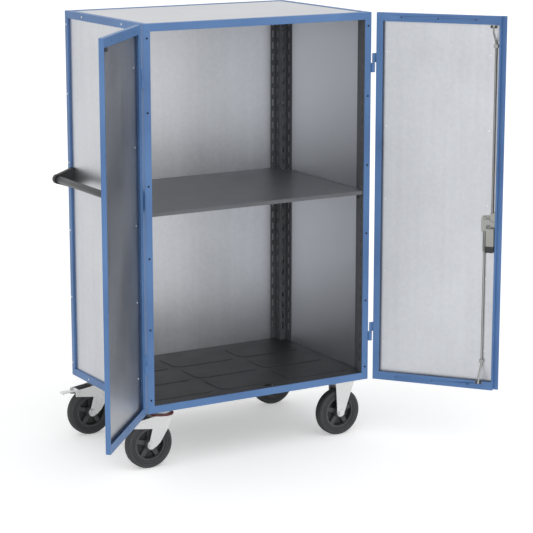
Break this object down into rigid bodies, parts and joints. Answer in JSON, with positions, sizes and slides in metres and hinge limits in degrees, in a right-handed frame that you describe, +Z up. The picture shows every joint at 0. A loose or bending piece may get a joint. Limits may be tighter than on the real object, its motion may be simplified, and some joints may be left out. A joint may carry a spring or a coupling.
{
  "type": "cabinet trolley",
  "caption": "Lockable sheet-steel cupboard trolley on castors: framed body, double doors with rod lock, slotted uprights with a shelf, push handle.",
  "frame": {"origin": "on the floor, under the middle of the cupboard's body", "axes": "+X to the user's right facing the doors, +Y from the doors to the rear panel, +Z up"},
  "size_m": [1.7828, 1.1372, 1.786],
  "materials": {
    "blue_paint": "satin powder coat",
    "galvanised_sheet": "dull zinc sheet",
    "charcoal_paint": "satin powder coat",
    "zinc_steel": "bright zinc",
    "lock_grey": "satin",
    "black_plastic": "matt",
    "black_tube": "satin",
    "dust_ring_red": "matt",
    "grey_rubber": "matt",
    "rim_plastic": "matt"
  },
  "bodies": {
    "cabinet": {"top_front_rail": "blue_paint", "top_rear_rail": "blue_paint", "top_side_rails": "blue_paint", "bottom_front_rail": "blue_paint", "bottom_rear_rail": "blue_paint", "bottom_side_rails": "blue_paint", "front_posts": "blue_paint", "rear_posts": "blue_paint", "left_side_panel": "galvanised_sheet", "right_side_panel": "galvanised_sheet", "rear_panel": "galvanised_sheet", "roof_panel": "galvanised_sheet", "floor_deck": "charcoal_paint", "castor_bearers": "charcoal_paint", "shelf_uprights": "charcoal_paint", "shelf": "charcoal_paint", "shelf_clips": "charcoal_paint", "frame_rivets": "zinc_steel", "hinge_pins": "blue_paint", "handle_tube": "black_tube", "handle_brackets": "black_plastic", "castor_bolts": "zinc_steel", "swivel_plates": "zinc_steel", "dust_rings": "dust_ring_red", "fixed_brackets": "zinc_steel", "fixed_axles": "zinc_steel"},
    "left_door": {"left_door_frame": "blue_paint", "left_door_panel": "galvanised_sheet", "left_hinge_sleeves": "blue_paint", "left_door_rivets": "zinc_steel", "door_catch": "black_plastic"},
    "right_door": {"right_door_frame": "blue_paint", "right_door_panel": "galvanised_sheet", "right_hinge_sleeves": "blue_paint", "right_door_rivets": "zinc_steel", "meeting_lip": "blue_paint", "lock_case": "lock_grey", "lock_block": "black_plastic", "rod_guides": "black_plastic"},
    "lock": {"lock_cam": "zinc_steel", "lock_handle": "black_plastic"},
    "upper_rod": {"upper_rod": "zinc_steel"},
    "lower_rod": {"lower_rod": "zinc_steel"},
    "upper_rollers": {"upper_rollers": "black_plastic"},
    "lower_rollers": {"lower_rollers": "black_plastic"},
    "front_left_swivel": {"front_left_fork": "zinc_steel", "front_left_axle": "zinc_steel"},
    "front_left_brake": {"front_left_pedal": "zinc_steel"},
    "front_left_wheel": {"front_left_tyre": "grey_rubber", "front_left_rim": "rim_plastic"},
    "front_right_wheel": {"front_right_tyre": "grey_rubber", "front_right_rim": "rim_plastic"},
    "rear_left_swivel": {"rear_left_fork": "zinc_steel", "rear_left_axle": "zinc_steel"},
    "rear_left_brake": {"rear_left_pedal": "zinc_steel"},
    "rear_left_wheel": {"rear_left_tyre": "grey_rubber", "rear_left_rim": "rim_plastic"},
    "rear_right_wheel": {"rear_right_tyre": "grey_rubber", "rear_right_rim": "rim_plastic"}
  },
  "joints": [
    {"name": "left_door_hinge", "type": "hinge", "parent": "cabinet", "child": "left_door", "pos_m": [-0.53, -0.353, 1], "axis": [0, 0, -1], "range_deg": [-131.7, 48.3]},
    {"name": "right_door_hinge", "type": "hinge", "parent": "cabinet", "child": "right_door", "pos_m": [0.53, -0.353, 1], "axis": [0, 0, 1], "range_deg": [-128.4, 51.6]},
    {"name": "lock_turn", "type": "hinge", "parent": "right_door", "child": "lock", "pos_m": [0.84116, -0.73673, 0.95], "axis": [-0.7837, -0.6211, 0], "range_deg": [0, 64]},
    {"name": "upper_rod_slide", "type": "slide", "parent": "right_door", "child": "upper_rod", "axis": [0, 0, 1], "range_m": [0, 0.02221]},
    {"name": "upper_roller_spin", "type": "hinge", "parent": "upper_rod", "child": "upper_rollers", "pos_m": [0.81873, -0.77364, 1.746], "axis": [-0.6211, 0.7837, 0], "continuous": true},
    {"name": "lower_rod_slide", "type": "slide", "parent": "right_door", "child": "lower_rod", "axis": [0, 0, -1], "range_m": [0, 0.02221]},
    {"name": "lower_roller_spin", "type": "hinge", "parent": "lower_rod", "child": "lower_rollers", "pos_m": [0.8001, -0.75013, 0.286], "axis": [-0.6211, 0.7837, 0], "continuous": true},
    {"name": "front_left_swivel_turn", "type": "hinge", "parent": "cabinet", "child": "front_left_swivel", "pos_m": [-0.42, -0.27, 0.23], "axis": [0, 0, 1], "continuous": true},
    {"name": "front_left_brake_press", "type": "hinge", "parent": "front_left_swivel", "child": "front_left_brake", "pos_m": [-0.54, -0.27, 0.195], "axis": [0, -1, 0], "range_deg": [0, 15]},
    {"name": "front_left_wheel_roll", "type": "hinge", "parent": "front_left_swivel", "child": "front_left_wheel", "pos_m": [-0.48, -0.27, 0.1], "axis": [0, 1, 0], "continuous": true},
    {"name": "front_right_wheel_roll", "type": "hinge", "parent": "cabinet", "child": "front_right_wheel", "pos_m": [0.42, -0.27, 0.1], "axis": [0, 1, 0], "continuous": true},
    {"name": "rear_left_swivel_turn", "type": "hinge", "parent": "cabinet", "child": "rear_left_swivel", "pos_m": [-0.42, 0.27, 0.23], "axis": [0, 0, 1], "continuous": true},
    {"name": "rear_left_brake_press", "type": "hinge", "parent": "rear_left_swivel", "child": "rear_left_brake", "pos_m": [-0.54, 0.27, 0.195], "axis": [0, -1, 0], "range_deg": [0, 15]},
    {"name": "rear_left_wheel_roll", "type": "hinge", "parent": "rear_left_swivel", "child": "rear_left_wheel", "pos_m": [-0.48, 0.27, 0.1], "axis": [0, 1, 0], "continuous": true},
    {"name": "rear_right_wheel_roll", "type": "hinge", "parent": "cabinet", "child": "rear_right_wheel", "pos_m": [0.42, 0.27, 0.1], "axis": [0, 1, 0], "continuous": true}
  ],
  "couplings": [
    {"joint": "upper_rod_slide", "follows": "lock_turn", "m_per_rad": 0.019795},
    {"joint": "lower_rod_slide", "follows": "lock_turn", "m_per_rad": 0.019795}
  ]
}
